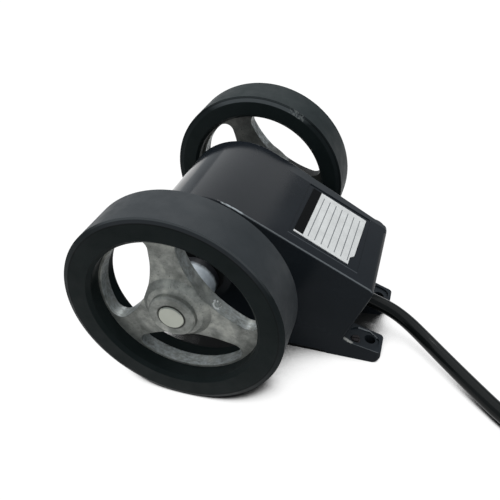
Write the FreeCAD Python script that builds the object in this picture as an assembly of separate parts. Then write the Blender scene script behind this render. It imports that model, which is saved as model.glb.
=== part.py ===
import FreeCAD, Part
import math
import os

V = FreeCAD.Vector
Y_AXIS = V(0, 1, 0)
Z_AXIS = V(0, 0, 1)

# ---------------------------------------------------------------- driving dimensions, mm
# Working frame: origin on the wheel axis, midway between the wheels.
# +X runs back to the feet, +Y to the right wheel, +Z up.

# wheels
wheel_circumference = 300.0
tyre_width = 21.4
wheel_gap = 95.8
tyre_bore_r = 36.2
tyre_outer_bevel = 2.0
tyre_inner_bevel = 3.0
tyre_bevel_depth = 0.8
tyre_lip = 1.6

hub_web_front = 7.7
hub_web_t = 6.0
hub_rim_r = 38.5
hub_rim_inner_r = 35.0
hub_face_set_back = 0.6
hub_boss_r = 10.2
hub_boss_bevel = 0.7
hub_step_depth = 3.3
hub_step_r = 13.0
hub_cone_r = 15.0
hub_cone_rise = 1.0
hub_rear_boss_end = 18.0
spoke_count = 3
window_inner_r = 14.2
window_bow_r = 48.0
window_corner_r = 4.5
left_spoke_angle = 97.5
right_spoke_angle = 112.0

# shaft and its bearings
shaft_end_d = 11.0
shaft_d = 12.0
shaft_chamfer = 0.4
bearing_od = 21.0
bearing_w = 5.0
bearing_race_t = 1.35
ball_d = 2.4
ball_count = 12
cage_t = 0.9
cage_w = 3.6
circlip_r = 8.4
circlip_t = 1.0
spacer_r = 10.2
spacer_gap = 3.0
spacer_nose_r = 7.1

# housing
tilt = 27.5
nose_r = 32.0
rear_lean = 21.0
rear_corner_x = 77.3
underside_rise = 2.0
underside_gap = 2.7
rear_edge_r = 3.5
low_edge_r = 2.0
near_side_y = -27.4
far_side_y = 29.0
far_taper_start = 12.0
far_taper = 0.072
far_corner_r = 4.2
corner_ear_x = 64.4
corner_ear_y = 20.7
corner_ear_r = 5.3
edge_r = 1.0
wall_t = 4.9
rim_t = 2.9
left_wall_t = 3.6
bearing_boss_r = 15.0
bearing_boss_reach = 38.3
seal_t = 1.5
seal_r = 11.5
race_shoulder_r = 9.2

# mounting feet
foot_tip_t = 6.7
foot_top_slope = 13.0
foot_hole_d = 5.4
foot_hole_x = 77.4
foot_hole_mid_y = -3.1
foot_hole_spacing = 33.0
foot_tip_x = 83.6
foot_root_x = 56.0
foot_corner_r = 2.0
foot_toe = 3.8
foot_pocket_depth = 0.9
foot_pocket_r = 3.5

# label
label_x0 = 26.4
label_x1 = 57.2
label_half_w = 19.1
label_t = 0.35
label_turn = -1.2
label_torn_l = 7.5
label_torn_w = 2.2
recess_x0 = 24.0
recess_x1 = 60.0
recess_half_w = 21.4
recess_corner_r = 0.8

# side cover
cover_seat_y = 20.0
gasket_t = 0.6
cover_t = 2.5
cover_clearance = 0.15
cover_boss_r = 4.0
cover_boss_l = 11.0

# screws
m3_r = 1.45
m3_hole_r = 1.5
m3_free_r = 1.7
m3_head_r = 2.75
m3_head_h = 1.8
m25_r = 1.2
m25_hole_r = 1.25
m25_head_r = 2.2
m25_head_h = 1.6
earth_x = 70.8
earth_seat_z = 8.3
earth_seat_r = 2.6
grub_r = 1.9
grub_hole_r = 1.95
socket_r = 0.9

# gear train and code disc
gear_module = 0.8
drive_teeth = 60
pinion_teeth = 20
gear_w = 6.0
pinion_w = 7.5
gear_y = -13.0
gear_backlash = 0.16
gear_hub_r = 10.5
gear_hub_l = 6.0
encoder_shaft_d = 5.0
bush_r = 4.0
bush_l = 5.0
bush_boss_r = 6.5
disc_gap = 2.6
disc_t = 0.8
disc_y = -2.0
disc_slots = 50
disc_slot_w = 0.55
disc_slot_l = 3.6
disc_slot_margin = 1.4
disc_hub_r = 7.0
disc_hub_l = 4.0

# circuit board
board_x0 = 24.0
board_x1 = 57.0
board_y0 = -19.0
board_y1 = 16.0
board_drop = 9.4
board_t = 1.6
board_post_r = 3.0
board_hole_inset = 4.0
sensor_l = 12.0
sensor_arm_t = 3.2
sensor_gap = 3.0
sensor_drop = 7.5
header_l = 19.0
header_w = 7.5
header_h = 6.5
header_x = 50.0
driver_chip = (30.0, 7.5, 8.0, 6.0, 1.7)
small_chip = (40.5, 9.0, 5.0, 4.0, 1.5)
supply_chip = (40.0, -13.0, 6.0, 5.0, 1.7)
capacitor_x = 42.0
capacitor_y = 3.0
capacitor_r = 3.1
capacitor_h = 6.0
capacitor_round = 0.5

# cable
cable_d = 7.3
cable_clearance = 0.02
exit_z = 18.0
cable_tail_l = 14.0
cable_first_run = 8.3
grommet_r = 6.15
grommet_flange_r = 7.6
grommet_flange_t = 1.4
tie_w = 4.5
tie_t = 1.3
wire_r = 0.6
wire_gap = 1.5
wire_names = 6
lead_r = 0.7
lead_l = 34.0
coil_full_layers = 2
coil_mean_r = 40.0
coil_x = 198.5
coil_y = -37.5
coil_lift = 1.0
coil_start = -128.3
coil_top_start = coil_start - 180.0
coil_top_sweep = 288.0
strap_w = 12.0
strap_t = 0.8
strap_gap = 0.1
strap_angle = coil_start + 20.0

clearance = 0.05
bearing_clearance = 0.02

# ---------------------------------------------------------------- worked-out values
wheel_r = wheel_circumference / (2 * math.pi)
track_y = wheel_gap / 2 + tyre_width
tilt_rad = math.radians(tilt)
shaft_end_r = shaft_end_d / 2
shaft_r = shaft_d / 2
bearing_r = bearing_od / 2
ball_r = ball_d / 2
ball_pitch_r = (shaft_r + bearing_r) / 2
bearing_y1 = bearing_boss_reach - seal_t
bearing_y0 = bearing_y1 - bearing_w
shoulder_y = track_y - hub_rear_boss_end
drive_r = gear_module * drive_teeth / 2
pinion_r = gear_module * pinion_teeth / 2
encoder_shaft_r = encoder_shaft_d / 2
board_z = nose_r - board_drop
disc_r = board_z - disc_gap
encoder_x = (drive_r + pinion_r) * math.cos(tilt_rad)
encoder_z = -(drive_r + pinion_r) * math.sin(tilt_rad)
cover_y0 = cover_seat_y + gasket_t
cover_y1 = cover_y0 + cover_t
cavity_y0 = near_side_y + left_wall_t
cable_r = cable_d / 2


def rod(r, y0, y1, x=0.0, z=0.0):
    return Part.makeCylinder(r, y1 - y0, V(x, y0, z), Y_AXIS)


def ring(r_out, r_in, y0, y1, x=0.0, z=0.0):
    return rod(r_out, y0, y1, x, z).cut(rod(r_in, y0 - 1, y1 + 1, x, z))


def turned(profile):
    """A closed (radius, y) outline turned about the wheel axis."""
    points = [V(r, y, 0) for r, y in profile]
    face = Part.Face(Part.makePolygon(points + points[:1]))
    return face.revolve(V(0, 0, 0), Y_AXIS, 360)


def mirrored(shape):
    return shape.mirror(V(0, 0, 0), Y_AXIS)


def tilted(shape):
    """From the frame of the sloped top face to the working frame."""
    shape = shape.copy()
    shape.rotate(V(0, 0, 0), Y_AXIS, tilt)
    return shape


def tilted_point(x, z):
    return (
        x * math.cos(tilt_rad) + z * math.sin(tilt_rad),
        -x * math.sin(tilt_rad) + z * math.cos(tilt_rad),
    )


def union(shapes):
    solid = shapes[0]
    for shape in shapes[1:]:
        solid = solid.fuse(shape)
    return solid.removeSplitter()


def drilled(solid, tools):
    for tool in tools:
        solid = solid.cut(tool)
    return solid


def export(name, shapes):
    """Write one node; several solids in a list stay separate solids."""
    if not isinstance(shapes, list):
        shapes = [shapes]
    placed = []
    for shape in shapes:
        shape = shape.copy()
        shape.translate(V(-foot_hole_x, -foot_hole_mid_y, wheel_r))
        placed.extend(shape.Solids)
    node = placed[0] if len(placed) == 1 else Part.makeCompound(placed)
    if not node.isValid():
        print("not valid:", name)
    node.exportStep("parts/" + name + ".step")


# ---------------------------------------------------------------- wheels
def tyre(y_face):
    """Rubber ring with bevelled edges, moulded round the hub's rim."""
    inner = y_face + tyre_width
    web_0 = y_face + hub_web_front
    web_1 = web_0 + hub_web_t
    return turned(
        [
            (tyre_bore_r + tyre_lip, y_face),
            (wheel_r - tyre_outer_bevel, y_face),
            (wheel_r, y_face + tyre_bevel_depth),
            (wheel_r, inner - tyre_bevel_depth),
            (wheel_r - tyre_inner_bevel, inner),
            (tyre_bore_r + tyre_lip, inner),
            (tyre_bore_r, inner - tyre_lip),
            (tyre_bore_r, web_1),
            (hub_rim_r, web_1),
            (hub_rim_r, web_0),
            (tyre_bore_r, web_0),
            (tyre_bore_r, y_face + tyre_lip),
        ]
    )


def window_prism(y0, y1, angle):
    """One rounded D-shaped opening between two spokes, its middle at the angle given."""
    bow_x = window_inner_r + window_bow_r
    corner_x = (hub_rim_inner_r**2 + bow_x**2 - window_bow_r**2) / (2 * bow_x)
    corner_z = math.sqrt(hub_rim_inner_r**2 - corner_x**2)
    low = V(corner_x, y0, -corner_z)
    high = V(corner_x, y0, corner_z)
    rim = Part.Arc(low, V(hub_rim_inner_r, y0, 0), high).toShape()
    bow = Part.Arc(high, V(window_inner_r, y0, 0), low).toShape()
    prism = Part.Face(Part.Wire([rim, bow])).extrude(V(0, y1 - y0, 0))
    corners = [e for e in prism.Edges if abs(abs(e.tangentAt(e.FirstParameter).y) - 1) < 1e-6]
    prism = prism.makeFillet(window_corner_r, corners)
    prism.rotate(V(0, 0, 0), Y_AXIS, -angle)
    return prism


def hub_blank(y_face):
    face = y_face + hub_face_set_back
    web_0 = y_face + hub_web_front
    web_1 = web_0 + hub_web_t
    step = y_face + hub_step_depth
    bore = shaft_end_r + clearance / 2
    return turned(
        [
            (bore, face + hub_boss_bevel / 2),
            (bore + hub_boss_bevel / 2, face),
            (hub_boss_r - hub_boss_bevel, face),
            (hub_boss_r, face + hub_boss_bevel),
            (hub_boss_r, step),
            (hub_step_r - hub_boss_bevel, step + hub_boss_bevel),
            (hub_step_r, step + 2 * hub_boss_bevel),
            (hub_cone_r, web_0 - hub_cone_rise),
            (hub_rim_inner_r, web_0),
            (hub_rim_r, web_0),
            (hub_rim_r, web_1),
            (hub_boss_r, web_1),
            (hub_boss_r, y_face + hub_rear_boss_end),
            (bore, y_face + hub_rear_boss_end),
        ]
    )


def grub_hole(r, y, angle, reach):
    """Radial cylinder from near the shaft out to the reach given."""
    direction = V(math.cos(angle), 0, math.sin(angle))
    start = direction * (shaft_end_r + clearance)
    return Part.makeCylinder(r, reach - shaft_end_r, start + V(0, y, 0), direction)


def hub(y_face, spoke_angle):
    solid = hub_blank(y_face)
    for i in range(spoke_count):
        middle = spoke_angle + 360.0 / spoke_count * (i + 0.5)
        solid = solid.cut(window_prism(y_face, y_face + tyre_width, middle))
    grub_y = y_face + (hub_web_front + hub_web_t + hub_rear_boss_end) / 2
    angle = math.radians(spoke_angle + 180.0 / spoke_count)
    return solid.cut(grub_hole(grub_hole_r, grub_y, angle, hub_boss_r + 1))


def hub_grub(y_face, spoke_angle):
    grub_y = y_face + (hub_web_front + hub_web_t + hub_rear_boss_end) / 2
    angle = math.radians(spoke_angle + 180.0 / spoke_count)
    direction = V(math.cos(angle), 0, math.sin(angle))
    screw = grub_hole(grub_r, grub_y, angle, hub_boss_r - 0.3)
    socket_at = direction * (hub_boss_r - 2.2) + V(0, grub_y, 0)
    return screw.cut(Part.makeCylinder(socket_r, 3, socket_at, direction))


def spacer():
    """Left-hand sleeve between the wheel hub and the bearing's inner race."""
    y0 = -shoulder_y
    y1 = -(bearing_boss_reach + spacer_gap)
    bore = shaft_r + clearance / 2
    body = ring(spacer_r, bore, y0, y1)
    return union([body, ring(spacer_nose_r, bore, y1, -bearing_y1)])


def wheel_shaft():
    half = turned(
        [
            (0, 0),
            (shaft_r, 0),
            (shaft_r, shoulder_y),
            (shaft_end_r, shoulder_y),
            (shaft_end_r, track_y - shaft_chamfer),
            (shaft_end_r - shaft_chamfer, track_y),
            (0, track_y),
        ]
    )
    shaft = union([half, mirrored(half)])
    groove = ring(shaft_r + 1, shaft_r - 0.5, bearing_y0 - circlip_t, bearing_y0)
    return drilled(shaft, [groove, mirrored(groove)])


def circlip():
    clip = ring(circlip_r, shaft_r - 0.5, bearing_y0 - circlip_t, bearing_y0)
    slot = Part.makeBox(circlip_r * 2, circlip_t * 3, 5, V(0, bearing_y0 - circlip_t * 2, -2.5))
    return clip.cut(slot)


def ball_groove():
    y = (bearing_y0 + bearing_y1) / 2
    return Part.makeTorus(ball_pitch_r, ball_r + bearing_clearance, V(0, y, 0), Y_AXIS)


def bearing_outer():
    return ring(bearing_r, bearing_r - bearing_race_t, bearing_y0, bearing_y1).cut(ball_groove())


def bearing_inner():
    race = ring(shaft_r + bearing_race_t, shaft_r, bearing_y0, bearing_y1)
    return race.cut(ball_groove())


def bearing_balls():
    y = (bearing_y0 + bearing_y1) / 2
    balls = []
    for i in range(ball_count):
        a = 2 * math.pi * i / ball_count
        balls.append(Part.makeSphere(ball_r, V(ball_pitch_r * math.cos(a), y, ball_pitch_r * math.sin(a))))
    return balls


def bearing_cage():
    """Thin ring with a pocket round each ball."""
    y = (bearing_y0 + bearing_y1) / 2
    cage = ring(ball_pitch_r + cage_t / 2, ball_pitch_r - cage_t / 2, y - cage_w / 2, y + cage_w / 2)
    for i in range(ball_count):
        a = 2 * math.pi * i / ball_count
        out = V(math.cos(a), 0, math.sin(a))
        cage = cage.cut(Part.makeCylinder(ball_r + clearance, ball_pitch_r, V(0, y, 0) + out, out))
    return cage


def felt_seal():
    return ring(seal_r, spacer_nose_r + 0.1, bearing_y1, bearing_boss_reach)


# ---------------------------------------------------------------- housing
def meet(p, d, q, e):
    """Where the line through p along d crosses the line through q along e, in (x, z)."""
    cross = d[0] * e[1] - d[1] * e[0]
    s = ((q[0] - p[0]) * e[1] - (q[1] - p[1]) * e[0]) / cross
    return (p[0] + d[0] * s, p[1] + d[1] * s)


top_dir = (math.cos(tilt_rad), -math.sin(tilt_rad))
rear_dir = (math.sin(math.radians(rear_lean)), math.cos(math.radians(rear_lean)))
base_dir = (math.cos(math.radians(underside_rise)), -math.sin(math.radians(underside_rise)))
top_tangent = (nose_r * math.sin(tilt_rad), nose_r * math.cos(tilt_rad))
rear_corner = meet(top_tangent, top_dir, (rear_corner_x, 0), (0, 1))


def side_corners(inset):
    """Corners of the side profile, each wall moved in by the inset."""
    r = nose_r - inset
    top = (r * math.sin(tilt_rad), r * math.cos(tilt_rad))
    rear = (rear_corner[0] - rear_dir[1] * inset, rear_corner[1] + rear_dir[0] * inset)
    base = (-base_dir[1] * inset, -wheel_r + underside_gap + base_dir[0] * inset)
    top_rear = meet(top, top_dir, rear, rear_dir)
    low_rear = meet(rear, rear_dir, base, base_dir)
    low_front = meet(base, base_dir, (-r, 0), (0, 1))
    return top, top_rear, low_rear, low_front


def side_prism(inset, y0, y1):
    """The round-nosed side profile as a prism across the machine."""
    r = nose_r - inset
    top, top_rear, low_rear, low_front = [V(x, y0, z) for x, z in side_corners(inset)]
    nose = V(-r, y0, 0)
    middle = math.radians(90 - tilt + 180) / 2
    over = V(r * math.cos(middle), y0, r * math.sin(middle))
    edges = [
        Part.Arc(nose, over, top).toShape(),
        Part.LineSegment(top, top_rear).toShape(),
        Part.LineSegment(top_rear, low_rear).toShape(),
        Part.LineSegment(low_rear, low_front).toShape(),
        Part.LineSegment(low_front, nose).toShape(),
    ]
    return Part.Face(Part.Wire(edges)).extrude(V(0, y1 - y0, 0))


def edges_across(solid, points):
    """Edges that run across the machine through the (x, z) points given."""
    found = []
    for edge in solid.Edges:
        a = edge.Vertexes[0].Point
        if abs(edge.tangentAt(edge.FirstParameter).y) < 0.9:
            continue
        if any(math.hypot(a.x - x, a.z - z) < 0.01 for x, z in points):
            found.append(edge)
    return found


def outer_body():
    body = side_prism(0, near_side_y, far_side_y)
    top_rear, low_rear, low_front = side_corners(0)[1:]
    body = body.makeFillet(rear_edge_r, edges_across(body, [top_rear]))
    body = body.makeFillet(low_edge_r, edges_across(body, [low_rear, low_front]))
    run = 100.0
    wedge_points = [
        V(far_taper_start, far_side_y, -run),
        V(far_taper_start + run, far_side_y, -run),
        V(far_taper_start + run, far_side_y - far_taper * run, -run),
    ]
    wedge = Part.Face(Part.makePolygon(wedge_points + wedge_points[:1]))
    body = body.cut(tilted(wedge.extrude(V(0, 0, 2 * run))))
    sides = [f for f in body.Faces if abs(f.normalAt(0, 0).y) > 0.9]
    rims = [e for f in sides for e in f.Edges if not shared(e, sides)]
    body = body.makeFillet(edge_r, rims)
    return body.cut(far_corner_cut()).fuse(corner_ear())


def far_corner_cut():
    """Block that leaves the far rear upright corner rounded."""
    low = V(rear_corner[0], corner_ear_y, rear_corner[1]) - V(rear_dir[0], 0, rear_dir[1]) * 70
    axis = V(rear_dir[0], 0, rear_dir[1])
    into = V(-rear_dir[1], 0, rear_dir[0])
    start = low + into * far_corner_r
    corners = [start, start - into * 20, start - into * 20 + Y_AXIS * 20, start + Y_AXIS * 20]
    block = Part.Face(Part.makePolygon(corners + corners[:1])).extrude(axis * 90)
    return block.cut(Part.makeCylinder(far_corner_r, 90, start, axis))


def corner_ear():
    """Low round ear at the far rear corner of the top face."""
    top = nose_r - 0.01
    ear = Part.makeCylinder(corner_ear_r, rim_t, V(corner_ear_x, corner_ear_y, top - rim_t), Z_AXIS)
    edge = [e for e in ear.Edges if e.Closed and abs(e.BoundBox.ZMin - top) < 0.01 and e.BoundBox.ZLength < 0.1]
    return tilted(ear.makeFillet(edge_r, edge))


def shared(edge, faces):
    """Whether the edge lies between two of the faces."""
    return sum(1 for f in faces if any(e.isSame(edge) for e in f.Edges)) > 1


def rounded_plate(corners, radius, z0, z1):
    """Flat plate on an (x, y) outline, its upright edges rounded."""
    points = [V(x, y, z0) for x, y in corners]
    plate = Part.Face(Part.makePolygon(points + points[:1])).extrude(V(0, 0, z1 - z0))
    upright = [e for e in plate.Edges if abs(e.tangentAt(e.FirstParameter).z) > 0.99]
    return plate.makeFillet(radius, upright)


def above_foot(drop):
    """Everything above the feet's sloping top face lowered by the drop."""
    slope = math.tan(math.radians(foot_top_slope))
    x0, x1 = foot_root_x - 10, foot_tip_x + 10
    z0 = foot_tip_t - drop - wheel_r + (foot_tip_x - x0) * slope
    z1 = foot_tip_t - drop - wheel_r + (foot_tip_x - x1) * slope
    points = [V(x0, -60, z0), V(x1, -60, z1), V(x1, -60, 0), V(x0, -60, 0)]
    return Part.Face(Part.makePolygon(points + points[:1])).extrude(V(0, 120, 0))


def foot(outline, pocket, hole_y):
    """One mounting ear with its sunk pocket and bolt hole."""
    table = -wheel_r
    ear = rounded_plate(outline, foot_corner_r, table, table + 20)
    points = [
        V(foot_tip_x + 1, -60, table - 1),
        V(foot_tip_x + 1, -60, table + foot_toe),
        V(foot_tip_x - foot_toe - 1, -60, table - 1),
    ]
    toe = Part.Face(Part.makePolygon(points + points[:1])).extrude(V(0, 120, 0))
    sunk = rounded_plate(pocket, foot_pocket_r, table, table + 21).common(above_foot(foot_pocket_depth))
    hole = Part.makeCylinder(foot_hole_d / 2, 30, V(foot_hole_x, hole_y, table - 1), Z_AXIS)
    return drilled(ear, [toe, above_foot(0), sunk, hole])


def left_foot():
    outline = [
        (foot_root_x, near_side_y),
        (foot_tip_x, near_side_y),
        (foot_tip_x, near_side_y + 12.4),
        (foot_root_x, near_side_y + 15.0),
    ]
    pocket = [
        (67.5, near_side_y + 1.9),
        (81.9, near_side_y + 1.9),
        (81.9, near_side_y + 9.0),
        (77.0, near_side_y + 12.4),
        (71.0, near_side_y + 12.2),
        (67.5, near_side_y + 10.0),
    ]
    return foot(outline, pocket, foot_hole_mid_y - foot_hole_spacing / 2)


def right_foot():
    outline = [
        (foot_root_x, 4.2),
        (foot_root_x + 23.5, 6.6),
        (foot_tip_x, 10.5),
        (foot_tip_x, 19.9),
        (foot_root_x, 25.0),
    ]
    pocket = [
        (67.5, 8.6),
        (78.0, 8.6),
        (82.0, 12.5),
        (82.0, 18.2),
        (77.0, 19.4),
        (67.5, 20.6),
    ]
    return foot(outline, pocket, foot_hole_mid_y + foot_hole_spacing / 2)


def cover_screw_places():
    """Centres of the cover screws: round the nose, then the three corners."""
    r = nose_r - wall_t - 1.5
    nose_screws = [(r * math.cos(a), r * math.sin(a)) for a in (math.radians(105), math.radians(180))]
    top_rear, low_rear, low_front = side_corners(wall_t + 2.0)[1:]
    corners = [
        (top_rear[0] - 2.5, top_rear[1] - 1.0),
        (low_rear[0] - 0.5, low_rear[1] + 1.5),
        (low_front[0] + 1.5, low_front[1] + 1.5),
    ]
    return nose_screws + corners


def board_screw_places():
    xs = (board_x0 + board_hole_inset, board_x1 - board_hole_inset)
    ys = (board_y0 + board_hole_inset, board_y1 - board_hole_inset)
    return [(x, y) for x in xs for y in ys]


def exit_frame():
    """The cable's exit on the rear wall and the direction it leaves in."""
    z = exit_z - wheel_r
    x = rear_corner[0] + (z - rear_corner[1]) * math.tan(math.radians(rear_lean))
    return V(x, 0, z), V(rear_dir[1], 0, -rear_dir[0])


def bearing_seat():
    """Bores of the left bearing boss, from the outside in."""
    return [
        rod(race_shoulder_r, -bearing_boss_reach - 1, 0),
        rod(bearing_r + bearing_clearance / 2, -bearing_y1, -bearing_y0),
        rod(seal_r + bearing_clearance, -bearing_boss_reach - 1, -bearing_y1),
    ]


def label_recess():
    x0, x1 = recess_x0, recess_x1
    half = recess_half_w
    corners = [(x0, -half), (x1, -half), (x1, half), (x0, half)]
    return tilted(rounded_plate(corners, recess_corner_r, nose_r - label_t, nose_r + 2))


def label_plate():
    """Thin label, turned a little in its recess, with one rear corner torn short."""
    z = nose_r - label_t
    half = label_half_w
    corners = [
        (label_x0, -half),
        (label_x1 - label_torn_w, -half),
        (label_x1 - label_torn_w, label_torn_l - half - 2.5),
        (label_x1 - 0.4, label_torn_l - half),
        (label_x1, half),
        (label_x0, half),
    ]
    points = [V(x, y, z) for x, y in corners]
    plate = Part.Face(Part.makePolygon(points + points[:1])).extrude(V(0, 0, label_t))
    plate.rotate(V((label_x0 + label_x1) / 2, 0, z), Z_AXIS, label_turn)
    return tilted(plate)


def housing():
    body = outer_body()
    additions = [body, rod(bearing_boss_r, -bearing_boss_reach, near_side_y + 1)]
    additions += [left_foot(), right_foot()]
    shell = union(additions)
    shell = shell.cut(side_prism(wall_t, cavity_y0, cover_seat_y + 1))
    shell = shell.cut(side_prism(rim_t, cover_seat_y, far_side_y + 1))
    inner = side_prism(wall_t - 1, cavity_y0 - 1, cover_seat_y)
    posts = []
    for x, z in cover_screw_places():
        posts.append(rod(cover_boss_r, cover_seat_y - cover_boss_l, cover_seat_y, x, z).common(inner))
    for x, y in board_screw_places():
        z0 = board_z + board_t
        post = Part.makeCylinder(board_post_r, nose_r - wall_t + 1 - z0, V(x, y, z0), Z_AXIS)
        posts.append(tilted(post))
    posts.append(rod(bush_boss_r, cavity_y0 - 1, cavity_y0 + bush_l, encoder_x, encoder_z))
    shell = union([shell] + posts)
    tools = bearing_seat() + [label_recess()]
    tools.append(rod(bush_r, cavity_y0 - 0.5, cavity_y0 + bush_l + 1, encoder_x, encoder_z))
    for x, z in cover_screw_places():
        tools.append(rod(m3_hole_r, cover_seat_y - cover_boss_l + 2, cover_seat_y + 1, x, z))
    for x, y in board_screw_places():
        hole_l = board_screw_l() + 0.5
        hole = Part.makeCylinder(m25_hole_r, hole_l, V(x, y, board_z), Z_AXIS)
        tools.append(tilted(hole))
    place, out = exit_frame()
    tools.append(Part.makeCylinder(grommet_r + clearance, wall_t + 6, place - out * (wall_t + 3), out))
    tools.append(earth_screw_tools())
    return drilled(shell, tools)


def board_screw_l():
    return board_t + nose_r - wall_t - board_z - board_t + 0.8


# ---------------------------------------------------------------- side cover
def cover_gasket():
    plate = side_prism(rim_t + cover_clearance, cover_seat_y, cover_y0)
    plate = plate.cut(side_prism(wall_t, cover_seat_y - 1, cover_y0 + 1))
    pads = [rod(cover_boss_r, cover_seat_y, cover_y0, x, z) for x, z in cover_screw_places()]
    pads = [pad.common(side_prism(rim_t + cover_clearance, cover_seat_y, cover_y0)) for pad in pads]
    holes = [rod(m3_free_r, cover_seat_y - 1, cover_y0 + 1, x, z) for x, z in cover_screw_places()]
    return drilled(union([plate] + pads), holes)


def side_cover():
    plate = side_prism(rim_t + cover_clearance, cover_y0, cover_y1)
    boss = rod(bearing_boss_r, cover_y1 - 1, bearing_boss_reach)
    bush_boss = rod(bush_boss_r, cover_y0 - bush_l, cover_y0 + 1, encoder_x, encoder_z)
    tools = [mirrored(tool) for tool in bearing_seat()]
    tools.append(rod(bush_r, cover_y0 - bush_l - 1, cover_y0 + 0.5, encoder_x, encoder_z))
    tools += [rod(m3_free_r, cover_y0 - 1, cover_y1 + 1, x, z) for x, z in cover_screw_places()]
    return drilled(union([plate, boss, bush_boss]), tools)


def cover_screws():
    screws = []
    for x, z in cover_screw_places():
        shank = rod(m3_r, cover_seat_y - cover_boss_l + 3, cover_y1, x, z)
        head = rod(m3_head_r, cover_y1, cover_y1 + m3_head_h, x, z)
        cross = [
            Part.makeBox(3.2, 2, 0.7, V(x - 1.6, cover_y1 + 0.7, z - 0.35)),
            Part.makeBox(0.7, 2, 3.2, V(x - 0.35, cover_y1 + 0.7, z - 1.6)),
        ]
        screws.append(drilled(union([shank, head]), cross))
    return screws


# ---------------------------------------------------------------- gear train
def gear_prism(teeth, y0, y1, turn):
    """Spur gear with involute flanks, one tooth centred at the turn given (degrees)."""
    pitch_r = gear_module * teeth / 2
    base_r = pitch_r * math.cos(math.radians(20))
    root_r = pitch_r - 1.25 * gear_module
    tip_r = pitch_r + gear_module
    radii = [root_r] + [max(base_r, root_r) + (tip_r - max(base_r, root_r)) * k / 3 for k in (1, 2, 3)]
    points = []
    for tooth in range(teeth):
        middle = math.radians(turn) + 2 * math.pi * tooth / teeth
        for side, order in ((-1, radii), (1, radii[::-1])):
            for r in order:
                a = middle + side * tooth_half_angle(teeth, pitch_r, base_r, r)
                points.append(V(r * math.cos(a), y0, r * math.sin(a)))
    return Part.Face(Part.makePolygon(points + points[:1])).extrude(V(0, y1 - y0, 0))


def tooth_half_angle(teeth, pitch_r, base_r, r):
    pressure = math.radians(20)
    here = math.acos(min(1.0, base_r / r))
    spread = (math.tan(pressure) - pressure) - (math.tan(here) - here)
    return math.pi / (2 * teeth) + spread - gear_backlash / (4 * pitch_r)


def drive_gear():
    teeth = gear_prism(drive_teeth, gear_y - gear_w / 2, gear_y + gear_w / 2, -tilt)
    boss = rod(gear_hub_r, gear_y, gear_y + gear_w / 2 + gear_hub_l)
    lightening = []
    for i in range(5):
        a = math.radians(72 * i)
        lightening.append(rod(3.4, gear_y - gear_w, gear_y + gear_w, 16.5 * math.cos(a), 16.5 * math.sin(a)))
    tools = [rod(shaft_r + bearing_clearance, gear_y - gear_w, gear_y + 20)]
    tools.append(gear_grub(grub_hole_r, gear_hub_r + 1))
    return drilled(union([teeth, boss]), tools + lightening)


def gear_grub(r, reach):
    y = gear_y + gear_w / 2 + gear_hub_l / 2
    start = shaft_r + clearance
    return Part.makeCylinder(r, reach - start, V(0, y, start), Z_AXIS)


def encoder_pinion():
    half_pitch = 180.0 / pinion_teeth
    teeth = gear_prism(pinion_teeth, gear_y - pinion_w / 2, gear_y + pinion_w / 2, 180 - tilt + half_pitch)
    teeth.translate(V(encoder_x, 0, encoder_z))
    return teeth.cut(rod(encoder_shaft_r + bearing_clearance, -40, 40, encoder_x, encoder_z))


def encoder_shaft():
    return rod(encoder_shaft_r, cavity_y0, cover_y0 - 0.2, encoder_x, encoder_z)


def encoder_bushes():
    bore = encoder_shaft_r + bearing_clearance * 2
    left = ring(bush_r, bore, cavity_y0 - 0.5, cavity_y0 + bush_l + 0.6, encoder_x, encoder_z)
    right = ring(bush_r, bore, cover_y0 - bush_l - 0.6, cover_y0 + 0.5, encoder_x, encoder_z)
    return [left, right]


def code_disc():
    disc = ring(disc_r, encoder_shaft_r + bearing_clearance, disc_y - disc_t / 2, disc_y + disc_t / 2)
    slot_r = disc_r - disc_slot_margin - disc_slot_l
    slots = []
    for i in range(disc_slots):
        slot = Part.makeBox(disc_slot_l, 4, disc_slot_w, V(slot_r, disc_y - 2, -disc_slot_w / 2))
        slot.rotate(V(0, 0, 0), Y_AXIS, 360.0 / disc_slots * i)
        slots.append(slot)
    disc = disc.cut(Part.makeCompound(slots))
    disc.translate(V(encoder_x, 0, encoder_z))
    return disc


def disc_hub():
    y0 = disc_y + disc_t / 2
    bore = encoder_shaft_r + bearing_clearance
    body = ring(disc_hub_r, bore, y0, y0 + disc_hub_l, encoder_x, encoder_z)
    y = y0 + disc_hub_l / 2
    hole = Part.makeCylinder(1.0, disc_hub_r, V(encoder_x, y, encoder_z + encoder_shaft_r), Z_AXIS)
    return body.cut(hole)


# ---------------------------------------------------------------- circuit board
def circuit_board():
    corners = [(board_x0, board_y0), (board_x1, board_y0), (board_x1, board_y1), (board_x0, board_y1)]
    board = rounded_plate(corners, 1.5, board_z, board_z + board_t)
    for x, y in board_screw_places():
        board = board.cut(Part.makeCylinder(m3_hole_r, 9, V(x, y, board_z - 3), Z_AXIS))
    return tilted(board)


def board_screws():
    screws = []
    for x, y in board_screw_places():
        shank = Part.makeCylinder(m25_r, board_screw_l(), V(x, y, board_z), Z_AXIS)
        head = Part.makeCylinder(m25_head_r, m25_head_h, V(x, y, board_z - m25_head_h), Z_AXIS)
        slot = Part.makeBox(5, 0.6, 0.7, V(x - 2.5, y - 0.3, board_z - m25_head_h))
        screws.append(tilted(union([shank, head]).cut(slot)))
    return screws


def optical_sensor():
    """Fork-shaped light barrier that hangs from the board over the disc's rim."""
    half = sensor_gap / 2 + sensor_arm_t
    x0 = drive_r + pinion_r - sensor_l / 2
    block = Part.makeBox(sensor_l, 2 * half, sensor_drop, V(x0, disc_y - half, board_z - sensor_drop))
    gap_top = board_z - 1.8
    gap = Part.makeBox(
        sensor_l + 2, sensor_gap, sensor_drop, V(x0 - 1, disc_y - sensor_gap / 2, gap_top - sensor_drop)
    )
    return tilted(block.cut(gap))


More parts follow.
